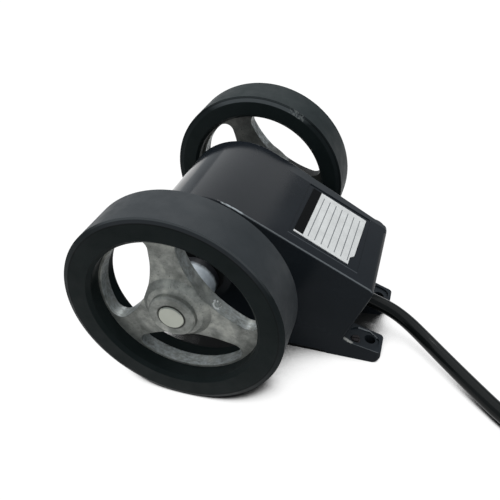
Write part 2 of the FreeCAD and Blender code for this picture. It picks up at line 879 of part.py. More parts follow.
def wire_header():
    y0 = -header_l / 2
    block = Part.makeBox(
        header_w, header_l, header_h, V(header_x - header_w / 2, y0, board_z - header_h)
    )
    for y in wire_ys():
        way = Part.makeCylinder(wire_r + 0.25, 4, V(header_x, y, board_z - header_h - 1), Z_AXIS)
        block = block.cut(way)
    return tilted(block)


def board_chips():
    """Each chip is given as its near edge x, middle y, length, width and height."""
    chips = []
    for x, y, length, width, height in (driver_chip, small_chip, supply_chip):
        chips.append(tilted(Part.makeBox(length, width, height, V(x, y - width / 2, board_z - height))))
    return chips


def board_capacitor():
    low = board_z - capacitor_h
    can = Part.makeCylinder(capacitor_r, capacitor_h, V(capacitor_x, capacitor_y, low), Z_AXIS)
    rim = [e for e in can.Edges if abs(e.BoundBox.ZMin - low) < 0.01 and e.Closed]
    return tilted(can.makeFillet(capacitor_round, rim))


# ---------------------------------------------------------------- cable
def tangent_path(points):
    """Straight runs joined by tangent arcs; also gives the arcs' radii and the path's length."""
    edges = []
    radii = []
    at = points[0]
    for before, corner, after in zip(points, points[1:], points[2:]):
        a = (before - corner)
        b = (after - corner)
        run = min(a.Length, b.Length)
        turn = math.pi - a.getAngle(b)
        cut = 0.45 * run
        radii.append(cut / math.tan(turn / 2))
        a.normalize()
        b.normalize()
        start = corner + a * cut
        end = corner + b * cut
        bisector = a + b
        bisector.normalize()
        centre = corner + bisector * (radii[-1] / math.cos(turn / 2))
        edges.append(Part.LineSegment(at, start).toShape())
        edges.append(Part.Arc(start, centre - bisector * radii[-1], end).toShape())
        at = end
    edges.append(Part.LineSegment(at, points[-1]).toShape())
    return Part.Wire(edges), radii


def tube(points, r):
    path, radii = tangent_path(points)
    first = points[1] - points[0]
    section = Part.Wire([Part.makeCircle(r, points[0], first)])
    return path.makePipeShell([section], True, False), path.Length, radii


def grommet():
    place, out = exit_frame()
    inner = place - out * (wall_t + grommet_flange_t)
    body = Part.makeCylinder(grommet_r, wall_t + 2 * grommet_flange_t, inner, out)
    lips = [
        Part.makeCylinder(grommet_flange_r, grommet_flange_t, place, out),
        Part.makeCylinder(grommet_flange_r, grommet_flange_t, inner, out),
    ]
    bore = Part.makeCylinder(cable_r + cable_clearance, wall_t + 20, inner - out * 5, out)
    return union([body] + lips).cut(bore)


def cable_tail():
    """The end of the sheath, inside the housing as far as the grommet's outer face."""
    place, out = exit_frame()
    start = place - out * cable_tail_l
    return Part.makeCylinder(cable_r, cable_tail_l + grommet_flange_t, start, out)


def cable_tie():
    place, out = exit_frame()
    start = place - out * (wall_t + grommet_flange_t + 0.3 + tie_w)
    band = Part.makeCylinder(cable_r + tie_t, tie_w, start, out)
    lock = Part.makeBox(4.5, 5.0, tie_w, V(-2.25, -2.5, 0))
    lock.translate(V(-(cable_r + tie_t + 0.5), 0, 0))
    lock.Placement = FreeCAD.Placement(start, FreeCAD.Rotation(Z_AXIS, out)).multiply(lock.Placement)
    bore = Part.makeCylinder(cable_r + cable_clearance, tie_w + 2, start - out, out)
    return union([band, lock]).cut(bore)


def wire_ys():
    step = header_l / (wire_names + 0.5)
    return [step * (i - (wire_names - 1) / 2) for i in range(wire_names)]


def lead_wires():
    """Six insulated cores from the stripped end of the sheath up to the board's header."""
    place, out = exit_frame()
    start = place - out * cable_tail_l
    wires = []
    up = V(out.z, 0, -out.x) * -1
    end_x, end_z = tilted_point(header_x, board_z - header_h + 2.0)
    low_x = encoder_x + disc_r + wire_gap
    low_z = tilted_point(header_x, board_z - header_h - 3.0)[1]
    for i, y in enumerate(wire_ys()):
        a = 2 * math.pi * (i + 0.5) / wire_names
        first = start + Y_AXIS * (-2.3 * math.cos(a)) + up * (1.6 * math.sin(a))
        second = first - out * 3.5
        points = [first, second, V(low_x, y, low_z), V(end_x, y, end_z)]
        wires.append(tube(points, wire_r)[0])
    return wires


def cable_points():
    """Route of the sheath from its exit to the put-away coil; z is above the table."""
    place, out = exit_frame()
    first = place + out * grommet_flange_t
    second = place + out * (grommet_flange_t + cable_first_run)
    above_table = [
        (85.5, -1.6, 12.4),
        (93.7, -5.3, 10.0),
        (101.7, -11.4, 8.0),
        (112.0, -22.1, 7.5),
        (125.6, -35.2, 6.3),
        (139.5, -47.7, 4.9),
        (155.7, -59.4, 4.7),
    ]
    route = [first, second] + [V(x, y, z - wheel_r) for x, y, z in above_table]
    route.append(coil_point(coil_start))
    return route


def coil_point(angle):
    """A point on the coil's lowest outer turn."""
    r = coil_mean_r + cable_r
    a = math.radians(angle)
    return V(coil_x + r * math.cos(a), coil_y + r * math.sin(a), coil_lift + cable_r - wheel_r)


def cable():
    solid, length, radii = tube(cable_points(), cable_r)
    print("cable arc radii", [round(r, 1) for r in radii])
    ratio = solid.Volume / (math.pi * cable_r**2 * length)
    print("cable run length", round(length, 1), "volume over section times length", round(ratio, 4))
    return solid


def soft_ring(r_out, r_in, z0, z1):
    """Ring about the coil's upright axis with its four rims rounded like the cable."""
    outer = Part.makeCylinder(r_out, z1 - z0, V(coil_x, coil_y, z0), Z_AXIS)
    solid = outer.cut(Part.makeCylinder(r_in, z1 - z0 + 2, V(coil_x, coil_y, z0 - 1), Z_AXIS))
    return solid.makeFillet(cable_r - clearance, [e for e in solid.Edges if e.Closed and e.BoundBox.XLength > 1])


def coil_sector(r, height, start, sweep):
    """Pie-shaped block about the coil's axis, used to keep part of a ring."""
    sector = Part.makeCylinder(r, height, V(0, 0, 0), Z_AXIS, sweep)
    sector.rotate(V(0, 0, 0), Z_AXIS, start)
    sector.translate(V(coil_x, coil_y, coil_lift - wheel_r))
    return sector


def cable_coil():
    """Outer shape of the put-away coil: two full layers, and a third with a short inner turn."""
    z0 = coil_lift - wheel_r
    z1 = z0 + (coil_full_layers + 1) * cable_d
    r_in = coil_mean_r - cable_d
    r_out = coil_mean_r + cable_d
    base = soft_ring(r_out, r_in, z0, z0 + coil_full_layers * cable_d)
    upper = soft_ring(r_out, coil_mean_r, z0 + cable_d, z1)
    wide = soft_ring(r_out, r_in, z0 + cable_d, z1)
    part_turn = wide.common(coil_sector(r_out + 1, z1 - z0 + 1, coil_top_start, coil_top_sweep))
    return union([base, upper, part_turn])


def coil_tie():
    """Hook-and-loop strap round all the turns at one place."""
    z0 = coil_lift - wheel_r
    z1 = z0 + (coil_full_layers + 1) * cable_d
    r_in = coil_mean_r - cable_d
    r_out = coil_mean_r + cable_d
    skin = strap_gap + strap_t
    outer = soft_ring(r_out + skin, r_in - skin, z0 - skin, z1 + skin)
    inner = soft_ring(r_out + strap_gap, r_in - strap_gap, z0 - strap_gap, z1 + strap_gap)
    angle = math.degrees(strap_w / coil_mean_r)
    sector = coil_sector(r_out * 2, z1 - z0 + 4, strap_angle - angle / 2, angle)
    sector.translate(V(0, 0, -2))
    return outer.cut(inner).common(sector)


def cable_leads():
    """The six stripped cores at the cable's free end, running on from its last turn."""
    middle = coil_lift + (coil_full_layers + 0.5) * cable_d - wheel_r
    leads = []
    for i in range(wire_names):
        row, place = divmod(i, 3)
        r = coil_mean_r - cable_r + (place - 1) * 2 * (lead_r + 0.15)
        length = lead_l - 3.0 * abs(place - 1) - 4.0 * row
        z = middle + (row - 0.5) * 2 * (lead_r + 0.1)
        leads.append(arc_rod(r, z, coil_top_start + coil_top_sweep, length))
    return leads


def arc_rod(r, z, start_angle, length):
    """A round wire on an arc about the coil's centre."""
    section = Part.Face(Part.Wire([Part.makeCircle(lead_r, V(r, 0, 0), Y_AXIS)]))
    solid = section.revolve(V(0, 0, 0), Z_AXIS, math.degrees(length / r))
    solid.rotate(V(0, 0, 0), Z_AXIS, start_angle)
    solid.translate(V(coil_x, coil_y, z))
    return solid


# ---------------------------------------------------------------- earth screw
def earth_screw_tools():
    """Tapped hole and flat seat for the earthing screw in the left foot's pocket."""
    y = near_side_y + 4.3
    seat = -wheel_r + earth_seat_z
    hole = Part.makeCylinder(m3_hole_r, 5.6, V(earth_x, y, seat - 5.5), Z_AXIS)
    return hole.fuse(Part.makeCylinder(earth_seat_r, 4, V(earth_x, y, seat), Z_AXIS))


def earth_screw():
    """Small cheese-head earthing screw with its washer."""
    y = near_side_y + 4.3
    seat = -wheel_r + earth_seat_z
    shank = Part.makeCylinder(m3_r, 5.0, V(earth_x, y, seat - 4.8), Z_AXIS)
    washer = Part.makeCylinder(m25_head_r + 0.1, 0.4, V(earth_x, y, seat), Z_AXIS)
    head = Part.makeCylinder(m25_head_r - 0.3, 1.3, V(earth_x, y, seat + 0.4), Z_AXIS)
    slot = Part.makeBox(6, 0.6, 1, V(earth_x - 3, y - 0.3, seat + 1.2))
    return union([shank, washer, head]).cut(slot)


# ---------------------------------------------------------------- export
def main():
    os.makedirs("parts", exist_ok=True)
    export("housing", housing())
    export("side_cover", side_cover())
    export("cover_gasket", cover_gasket())
    export("cover_screws", cover_screws())
    export("label_plate", label_plate())
    export("earth_screw", earth_screw())

    export("left_tyre", tyre(-track_y))
    export("right_tyre", mirrored(tyre(-track_y)))
    export("left_hub", hub(-track_y, left_spoke_angle))
    export("right_hub", mirrored(hub(-track_y, right_spoke_angle)))
    grubs = [hub_grub(-track_y, left_spoke_angle), mirrored(hub_grub(-track_y, right_spoke_angle))]
    export("hub_grub_screws", grubs)
    export("wheel_shaft", wheel_shaft())
    export("left_spacer", spacer())
    export("right_spacer", mirrored(spacer()))
    export("shaft_circlips", [circlip(), mirrored(circlip())])
    export("right_bearing_outer", bearing_outer())
    export("right_bearing_inner", bearing_inner())
    export("right_bearing_balls", bearing_balls())
    export("right_bearing_cage", bearing_cage())
    export("right_felt_seal", felt_seal())
    export("left_bearing_outer", mirrored(bearing_outer()))
    export("left_bearing_inner", mirrored(bearing_inner()))
    export("left_bearing_balls", [mirrored(ball) for ball in bearing_balls()])
    export("left_bearing_cage", mirrored(bearing_cage()))
    export("left_felt_seal", mirrored(felt_seal()))

    export("drive_gear", drive_gear())
    export("gear_grub_screw", gear_grub(grub_r, gear_hub_r - 0.3))
    export("encoder_pinion", encoder_pinion())
    export("encoder_shaft", encoder_shaft())
    export("encoder_bushes", encoder_bushes())
    export("code_disc", code_disc())
    export("disc_hub", disc_hub())

    export("circuit_board", circuit_board())
    export("board_screws", board_screws())
    export("optical_sensor", optical_sensor())
    export("wire_header", wire_header())
    export("board_chips", board_chips())
    export("board_capacitor", board_capacitor())

    export("cable_grommet", grommet())
    export("cable_tail", cable_tail())
    export("cable_tie", cable_tie())
    export("lead_wires", lead_wires())
    export("cable", cable())
    export("cable_coil", cable_coil())
    export("coil_tie", coil_tie())
    export("cable_leads", cable_leads())


main()
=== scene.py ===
import math

import bmesh
import bpy
from mathutils import Matrix, Vector


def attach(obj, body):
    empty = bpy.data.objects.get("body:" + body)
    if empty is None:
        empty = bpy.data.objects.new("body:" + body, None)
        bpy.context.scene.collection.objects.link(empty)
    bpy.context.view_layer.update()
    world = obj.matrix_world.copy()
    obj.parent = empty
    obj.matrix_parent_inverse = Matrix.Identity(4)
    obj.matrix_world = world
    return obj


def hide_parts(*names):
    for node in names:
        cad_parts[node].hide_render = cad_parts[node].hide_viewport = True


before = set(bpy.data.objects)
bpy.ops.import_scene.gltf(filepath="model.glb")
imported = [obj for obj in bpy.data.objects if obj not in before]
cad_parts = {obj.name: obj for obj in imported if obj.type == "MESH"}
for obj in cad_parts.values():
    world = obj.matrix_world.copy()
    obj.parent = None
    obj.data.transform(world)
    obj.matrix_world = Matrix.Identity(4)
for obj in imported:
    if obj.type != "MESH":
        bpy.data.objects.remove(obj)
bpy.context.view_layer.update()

scene = bpy.context.scene

# ---------------------------------------------------------------- places in the part's frame, mm
MM = 0.001
ORIGIN = (0, 0, 0)
X_AXIS = (1, 0, 0)
Y_AXIS = (0, 1, 0)
Z_AXIS = (0, 0, 1)

AXLE = (-77.4, 3.1, 47.746)
WHEEL_R = 47.746
NOSE_R = 32.0
TILT = math.radians(27.5)
# the casting's own axes: back along its sloped top, and square to that top
CAST_X = (math.cos(TILT), 0, -math.sin(TILT))
CAST_Z = (math.sin(TILT), 0, math.cos(TILT))

# ---------------------------------------------------------------- camera
IMAGE_PX = 500
SENSOR_MM = 36.0
FOCAL_PX = 552.115
CENTRE_PX = (282.17, 248.0)
CAMERA_AT = Vector((8.534, -209.340, 204.356)) * MM
CAMERA_RIGHT = Vector((0.96394, 0.26612, 0.00182))
CAMERA_DOWN = Vector((0.16142, -0.57924, -0.79902))
CAMERA_AHEAD = Vector((-0.21158, 0.77050, -0.60131))


def add_camera():
    data = bpy.data.cameras.new("camera")
    data.sensor_fit = "HORIZONTAL"
    data.sensor_width = SENSOR_MM
    data.lens = FOCAL_PX / IMAGE_PX * SENSOR_MM
    data.shift_x = (IMAGE_PX / 2 - CENTRE_PX[0]) / IMAGE_PX
    data.shift_y = (CENTRE_PX[1] - IMAGE_PX / 2) / IMAGE_PX
    data.clip_start = 0.01
    data.clip_end = 20
    camera = bpy.data.objects.new("camera", data)
    scene.collection.objects.link(camera)
    turn = Matrix((CAMERA_RIGHT, -CAMERA_DOWN, -CAMERA_AHEAD)).transposed()
    camera.matrix_world = Matrix.Translation(CAMERA_AT) @ turn.to_4x4()
    scene.camera = camera


# ---------------------------------------------------------------- colours and nodes
def srgb(r, g, b):
    """Colour given as 0-255 screen values."""
    out = []
    for v in (r, g, b):
        v = v / 255
        out.append(v / 12.92 if v <= 0.04045 else ((v + 0.055) / 1.055) ** 2.4)
    return (*out, 1.0)


def outward(degrees):
    """Direction out from the axle, at that angle from +X up towards +Z."""
    angle = math.radians(degrees)
    return (math.cos(angle), 0, math.sin(angle))


class Mat:
    """A node material built from short calls. Masks are values from 0 to 1."""

    def __init__(self, name, color, rough, metal=0.0, spec=0.5):
        self.mat = bpy.data.materials.new(name)
        self.mat.use_nodes = True
        self.tree = self.mat.node_tree
        self.shader = self.tree.nodes["Principled BSDF"]
        self.set("Base Color", color)
        self.set("Roughness", rough)
        self.set("Metallic", metal)
        self.set("Specular IOR Level", spec)
        self.place = self.node("ShaderNodeTexCoord").outputs["Object"]
        self.normal = None

    def node(self, kind, **props):
        node = self.tree.nodes.new(kind)
        for key, value in props.items():
            setattr(node, key, value)
        return node

    def link(self, a, b):
        self.tree.links.new(a, b)

    def set(self, socket, value):
        self.shader.inputs[socket].default_value = value

    def feed(self, socket, value):
        self.link(value, self.shader.inputs[socket])

    # -- arithmetic
    def math(self, op, a, b=None, clamp=False):
        node = self.node("ShaderNodeMath", operation=op, use_clamp=clamp)
        for i, value in enumerate((a, b)):
            if value is None:
                continue
            if isinstance(value, (int, float)):
                node.inputs[i].default_value = value
            else:
                self.link(value, node.inputs[i])
        return node.outputs[0]

    def times(self, *masks):
        out = masks[0]
        for mask in masks[1:]:
            out = self.math("MULTIPLY", out, mask)
        return out

    def span(self, value, low, high, out_low=0.0, out_high=1.0, smooth=False):
        """Runs from out_low where the value is low to out_high where it is high, and stays there."""
        node = self.node("ShaderNodeMapRange", clamp=True)
        if smooth:
            node.interpolation_type = "SMOOTHSTEP"
        self.link(value, node.inputs["Value"])
        ends = {"From Min": low, "From Max": high, "To Min": out_low, "To Max": out_high}
        for key, number in ends.items():
            node.inputs[key].default_value = number
        return node.outputs["Result"]

    def scaled(self, mask, low, high):
        """Low where the mask is 0, high where it is 1."""
        return self.span(mask, 0, 1, low, high)

    def below(self, value, full, gone):
        """1 up to one value, falling to 0 at the other."""
        return self.span(value, full, gone, 1.0, 0.0)

    def between(self, value, low, high, soft=0.2):
        """1 between two values, falling to 0 outside them."""
        return self.times(self.span(value, low - soft, low), self.below(value, high, high + soft))

    def apart(self, value, target):
        """How far a value is from a target, either way."""
        return self.math("ABSOLUTE", self.math("SUBTRACT", value, target))

    # -- where the surface is and which way it faces
    def along(self, origin, direction):
        """Distance in mm of the surface point along a direction from an origin in mm."""
        shift = self.node("ShaderNodeVectorMath", operation="SUBTRACT")
        self.link(self.place, shift.inputs[0])
        shift.inputs[1].default_value = Vector(origin) * MM
        dot = self.node("ShaderNodeVectorMath", operation="DOT_PRODUCT")
        self.link(shift.outputs[0], dot.inputs[0])
        dot.inputs[1].default_value = Vector(direction).normalized() / MM
        return dot.outputs["Value"]

    def facing(self, direction):
        """How far the surface faces a direction: 1 straight at it, 0 at right angles."""
        node = self.node("ShaderNodeVectorMath", operation="DOT_PRODUCT")
        self.link(self.node("ShaderNodeTexCoord").outputs["Normal"], node.inputs[0])
        node.inputs[1].default_value = Vector(direction).normalized()
        return node.outputs["Value"]

    def sideways(self):
        """1 on faces square to the axle, 0 on faces round it."""
        return self.math("ABSOLUTE", self.facing(Y_AXIS))

    def radius(self, centre=AXLE, axis=1):
        """Distance in mm from a line through centre along X, Y or Z."""
        parts = []
        for i in range(3):
            if i == axis:
                continue
            unit = [0, 0, 0]
            unit[i] = 1
            d = self.along(centre, unit)
            parts.append(self.math("MULTIPLY", d, d))
        return self.math("SQRT", self.math("ADD", *parts))

    def near(self, centre, reach):
        """1 at a point, falling to 0 at a reach in mm."""
        d = self.node("ShaderNodeVectorMath", operation="DISTANCE")
        self.link(self.place, d.inputs[0])
        d.inputs[1].default_value = Vector(centre) * MM
        share = self.math("DIVIDE", d.outputs["Value"], reach * MM)
        return self.math("SUBTRACT", 1.0, share, clamp=True)

    # -- noise
    def noise(self, size, detail=3.0, rough=0.55, stretch=None):
        """Noise with features about that many mm across."""
        node = self.node("ShaderNodeTexNoise")
        node.inputs["Scale"].default_value = 1.0 / (size * MM)
        node.inputs["Detail"].default_value = detail
        node.inputs["Roughness"].default_value = rough
        vector = self.place
        if stretch:
            mapping = self.node("ShaderNodeMapping")
            mapping.inputs["Scale"].default_value = stretch
            self.link(vector, mapping.inputs["Vector"])
            vector = mapping.outputs[0]
        self.link(vector, node.inputs["Vector"])
        return node.outputs["Fac"]

    def line_noise(self, value, size):
        """One-dimensional noise of a value in mm."""
        node = self.node("ShaderNodeTexNoise", noise_dimensions="1D")
        node.inputs["Scale"].default_value = 1.0 / size
        node.inputs["Detail"].default_value = 2.0
        self.link(value, node.inputs["W"])
        return node.outputs["Fac"]

    def spread(self, noise, low=0.0, high=1.0):
        """Noise stretched, so that its usual range runs from low to high."""
        return self.span(noise, 0.3, 0.7, low, high)

    # -- colour
    def ramp(self, value, stops):
        node = self.node("ShaderNodeValToRGB")
        ends = node.color_ramp.elements
        while len(ends) < len(stops):
            ends.new(0.5)
        for end, (at, color) in zip(ends, stops):
            end.position = at
            end.color = color
        self.link(value, node.inputs["Fac"])
        return node.outputs["Color"]

    def mix(self, fac, a, b):
        """Colour a where the mask is 0, b where it is 1."""
        node = self.node("ShaderNodeMix", data_type="RGBA")
        for socket, value in ((node.inputs["Factor"], fac), (node.inputs[6], a), (node.inputs[7], b)):
            if hasattr(value, "node"):
                self.link(value, socket)
            else:
                socket.default_value = value
        return node.outputs[2]

    # -- relief
    def shape(self, normal):
        """Shades with this normal, and keeps it for the next relief to build on."""
        self.normal = normal
        self.feed("Normal", normal)

    def soften(self, radius):
        """Shades sharp edges as if rounded to that radius in mm."""
        node = self.node("ShaderNodeBevel", samples=6)
        node.inputs["Radius"].default_value = radius * MM
        self.shape(node.outputs["Normal"])

    def bump(self, height, depth):
        """Adds relief of that depth in mm."""
        node = self.node("ShaderNodeBump")
        node.inputs["Strength"].default_value = 1.0
        node.inputs["Distance"].default_value = depth * MM
        self.link(height, node.inputs["Height"])
        if self.normal:
            self.link(self.normal, node.inputs["Normal"])
        self.shape(node.outputs["Normal"])


def dress(mat, *nodes):
    for name in nodes:
        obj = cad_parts[name]
        obj.data.materials.clear()
        obj.data.materials.append(mat.mat)


# ---------------------------------------------------------------- cord, mm and degrees
CORD_D = 7.3
# the coil begins at COIL_A0, and its own angles count from there up to COIL_END
COIL_C = (121.1, -34.4)
COIL_OUT_R = 43.65
COIL_IN_R = 36.35
COIL_A0 = -128.3
COIL_LIFT = 1.0
COIL_STEP = 20.0
COIL_END = 1908.0
# angles at which a step to the inner turn, to the outer turn or up a layer ends, and how long a step is
INWARD_ENDS = (360, 1640)
OUTWARD_END = 1000
UPWARD_ENDS = (680, 1320)
STEP_TURN = 40.0

CORD_ROUTE = [
    (-8.613, 3.1, 17.498),
    (-0.864, 3.1, 14.524),
    (8.1, 1.5, 12.4),
    (16.3, -2.2, 10.0),
    (24.3, -8.3, 8.0),
    (34.6, -19.0, 7.5),
    (48.2, -32.1, 6.3),
    (62.1, -44.6, 4.9),
    (78.3, -56.3, 4.7),
]


def ease(t, end):
    """Rises smoothly from 0 to 1 over the step that ends at that angle."""
    k = min(1.0, max(0.0, (t - end + STEP_TURN) / STEP_TURN))
    return k * k * (3 - 2 * k)


def coil_place(t):
    """Radius and height of the coil after t degrees: five turns in three layers."""
    across = sum(ease(t, end) for end in INWARD_ENDS) - ease(t, OUTWARD_END)
    up = sum(ease(t, end) for end in UPWARD_ENDS)
    r = COIL_OUT_R + (COIL_IN_R - COIL_OUT_R) * across
    return r, COIL_LIFT + CORD_D * (0.5 + up)


def coil_point(degrees, r, z):
    angle = math.radians(degrees)
    return (COIL_C[0] + r * math.cos(angle), COIL_C[1] + r * math.sin(angle), z)


def cord_points():
    """The route, then the coil's turns. Points after the first stand out, as the spline cuts inside them."""
    points = list(CORD_ROUTE)
    points.append(coil_point(COIL_A0, *coil_place(0.0)))
    stand_out = 1 / math.cos(math.radians(COIL_STEP / 2))
    for k in range(1, int(COIL_END // COIL_STEP) + 1):
        t = k * COIL_STEP
        r, z = coil_place(t)
        points.append(coil_point(COIL_A0 + t, r * stand_out, z))
    return points


def nurbs_tube(name, points, r, resolution):
    data = bpy.data.curves.new(name, "CURVE")
    data.dimensions = "3D"
    spline = data.splines.new("NURBS")
    spline.points.add(len(points) - 1)
    for point, at in zip(spline.points, points):
        point.co = (*(Vector(at) * MM), 1.0)
    spline.order_u = 3
    spline.use_endpoint_u = True
    spline.resolution_u = 10
    data.bevel_depth = r * MM
    data.bevel_resolution = resolution
    data.use_fill_caps = True
    obj = bpy.data.objects.new(name, data)
    scene.collection.objects.link(obj)
    return obj


def cord_sheath():
    """Smooth black PVC with slightly uneven gloss."""
    mat = Mat("cable_sheath", srgb(22, 25, 25), 0.22, spec=0.15)
    mat.feed("Roughness", mat.spread(mat.noise(9.0), 0.10, 0.16))
    mat.bump(mat.noise(1.2, 4.0), 0.012)
    return mat


def make_cord(sheath):
    cord = nurbs_tube("signal_cable", cord_points(), CORD_D / 2, resolution=8)
    cord.data.materials.append(sheath.mat)
    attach(cord, "base")
    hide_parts("cable", "cable_coil")
    return cord


CORE_TONES = {
    "red": (176, 30, 28),
    "black": (28, 28, 30),
    "blue": (30, 60, 160),
    "white": (226, 226, 222),
    "green": (24, 120, 60),
    "yellow": (214, 186, 40),
}
CORES_IN_ROW = 3
CORE_PITCH = 1.7
ROW_PITCH = 1.6
CORE_R = 0.68
TIP_R = 0.42
LEAD_LENGTH = 34.0
OUTER_SHORTER = 3.0
ROW_SHORTER = 4.0
# share of a lead that keeps its jacket, and how far, in degrees, the tip starts inside it and ends early
JACKET_SHARE = 0.84
TIP_INSIDE = 0.4
TIP_EARLY = 0.2
LEAD_POINTS = 7


def make_leads():
    """The six cores past the end of the sheath, each with a bare copper tip."""
    copper = Mat("lead_copper", srgb(190, 120, 84), 0.35, metal=1.0)
    copper.bump(copper.noise(0.3), 0.03)
    pieces = []
    cord_r, cord_z = coil_place(COIL_END)
    start = COIL_A0 + COIL_END
    for i, (name, tone) in enumerate(CORE_TONES.items()):
        row, place = divmod(i, CORES_IN_ROW)
        r = cord_r + (place - 1) * CORE_PITCH
        z = cord_z + (row - 0.5) * ROW_PITCH
        length = LEAD_LENGTH - OUTER_SHORTER * abs(place - 1) - ROW_SHORTER * row
        sweep = math.degrees(length / r)
        stripped = sweep * JACKET_SHARE
        jacket = Mat("lead_" + name, srgb(*tone), 0.42)
        jacket.bump(jacket.noise(0.6), 0.02)
        for part, first, last, radius, skin in (
            ("core", 0.0, stripped, CORE_R, jacket),
            ("tip", stripped - TIP_INSIDE, sweep - TIP_EARLY, TIP_R, copper),
        ):
            step = (last - first) / (LEAD_POINTS - 1)
            points = [coil_point(start + first + step * k, r, z) for k in range(LEAD_POINTS)]
            piece = nurbs_tube(f"lead_{name}_{part}", points, radius, resolution=3)
            piece.data.materials.append(skin.mat)
            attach(piece, "base")
            pieces.append(piece)
    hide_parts("cable_leads")
    return pieces


# ---------------------------------------------------------------- enamel of the casting, mm
# Here and below, two numbers under a name with FROM, UP_TO, FADES or HALF are one soft edge: where its
# mask starts to change, and where it is done. Under any other name with X or Y they are the two ends
# of a stretch.
ENAMEL_TOP = (srgb(24, 28, 33), srgb(29, 33, 38))
ENAMEL_WALL = (srgb(41, 46, 51), srgb(47, 52, 57))
RIM_TONE = srgb(58, 61, 64)
RECESS_TONE = srgb(84, 88, 92)
# the pale tone of the highlight painted along the near top edge
EDGE_HIGHLIGHT_TONE = srgb(204, 210, 214)
CHIP_TONE = srgb(190, 189, 184)
# pale tones of the highlights painted on the near foot's lip and on its pocket wall
LIP_HIGHLIGHT_TONE = srgb(122, 126, 128)
POCKET_HIGHLIGHT_TONE = srgb(206, 208, 210)

# how high the top begins, and how far back from the axle its rear part does
TOP_FROM_Z = (18.0, 22.0)
REAR_FROM_X = (8.3, 18.3)
# the far rim strip of the top, and the extent of the label recess's near rim
RIM_FROM_Y = (21.6, 22.0)
RECESS_Y = (-21.8, -21.4)
RECESS_X = (24.0, 60.0)
# a point of a line across the nose and the direction square to it; the enamel is glossiest in front
SHINE_LINE = (-89.1, -3.2, 77.5)
SHINE_ACROSS = (1, 0.32, 0)
SHINE_FADES = (-2.5, 1.0)
# the near top edge, where a highlight is painted, and the spot where that painted highlight is brightest
EDGE_FROM = (NOSE_R - 1.2, NOSE_R - 0.8)
EDGE_HIGHLIGHT_AT = (-64.5, -23.9, 77.2)
EDGE_HIGHLIGHT_REACH = 6.5
EDGE_HIGHLIGHT_LEVEL = 0.32
# the near foot: its hole, its chip, and its lip and the wall of its pocket, where highlights are painted
FOOT_UP_TO_Z = (13.0, 14.0)
FOOT_HOLE = (0, -16.5, 0)
HOLE_FROM_R = (2.8, 3.0)
CHIP_AT = (-9.9, -23.2, 10.4)
CHIP_ALONG = (4.9, -1.8, -1.1)
CHIP_ACROSS = (1.8, 4.9, 0)
CHIP_HALF_LENGTH = (1.9, 2.9)
CHIP_HALF_WIDTH = (0.55, 0.9)
LIP_X = (-7.8, 5.6)
LIP_Y = (-24.4, -23.95)
POCKET_X = (-6.4, 3.4)
POCKET_Y = (-16.0, -11.5)


def edge_highlight(mat, tone):
    """A highlight painted pale along the near top edge, brightest at one spot."""
    turn = mat.facing((0, -1, 0))
    edge = mat.times(mat.span(turn, 0.2, 0.6), mat.below(turn, 0.75, 0.95))
    high = mat.span(mat.along(AXLE, CAST_Z), *EDGE_FROM)
    marking = mat.span(mat.noise(1.6), 0.3, 0.5)
    spot = mat.times(mat.span(mat.near(EDGE_HIGHLIGHT_AT, EDGE_HIGHLIGHT_REACH), 0.05, 0.3), marking)
    marking = mat.math("ADD", spot, EDGE_HIGHLIGHT_LEVEL)
    edge = mat.math("MULTIPLY", mat.times(edge, high), marking, clamp=True)
    return mat.mix(edge, tone, EDGE_HIGHLIGHT_TONE)


def recess_line(mat, tone):
    """The rim of the label recess, with a pale line along its near side."""
    side = mat.between(mat.along(AXLE, Y_AXIS), *RECESS_Y, 0.1)
    rim = mat.times(side, mat.between(mat.along(AXLE, CAST_X), *RECESS_X), mat.facing(CAST_Z))
    return mat.mix(mat.span(rim, 0.6, 1.0, 0.0, 0.7), tone, RECESS_TONE)


def foot_chip_and_highlights(mat, tone):
    """A chipped streak by the earth screw, and highlights painted pale on the near foot's lip and pocket
    wall.
    """
    x, y, z = (mat.along(ORIGIN, axis) for axis in (X_AXIS, Y_AXIS, Z_AXIS))
    low = mat.below(z, *FOOT_UP_TO_Z)
    up = mat.span(mat.facing(Z_AXIS), 0.8, 0.9)
    speck = mat.noise(0.6, 5.0, 0.75)

    along = mat.below(mat.math("ABSOLUTE", mat.along(CHIP_AT, CHIP_ALONG)), *CHIP_HALF_LENGTH)
    across = mat.math("ABSOLUTE", mat.along(CHIP_AT, CHIP_ACROSS))
    ragged = mat.math("ADD", across, mat.spread(speck, -0.6, 0.6))
    chip = mat.times(low, up, along, mat.below(ragged, *CHIP_HALF_WIDTH))
    tone = mat.mix(chip, tone, CHIP_TONE)

    # a highlight painted along the foot's lip
    lip = mat.times(low, mat.between(x, *LIP_X), mat.between(y, *LIP_Y, 0.1))
    lip = mat.times(lip, up, mat.span(speck, 0.3, 0.5, 0.5, 1.0))
    tone = mat.mix(mat.scaled(lip, 0, 0.6), tone, LIP_HIGHLIGHT_TONE)

    # a highlight painted on the pocket wall that faces forward
    wall = mat.times(low, mat.between(x, *POCKET_X), mat.between(y, *POCKET_Y))
    clear = mat.span(mat.radius(FOOT_HOLE, 2), *HOLE_FROM_R)
    wall = mat.times(wall, mat.span(mat.facing((0, -1, 0)), 0.4, 0.6), clear)
    return mat.mix(wall, tone, POCKET_HIGHLIGHT_TONE)


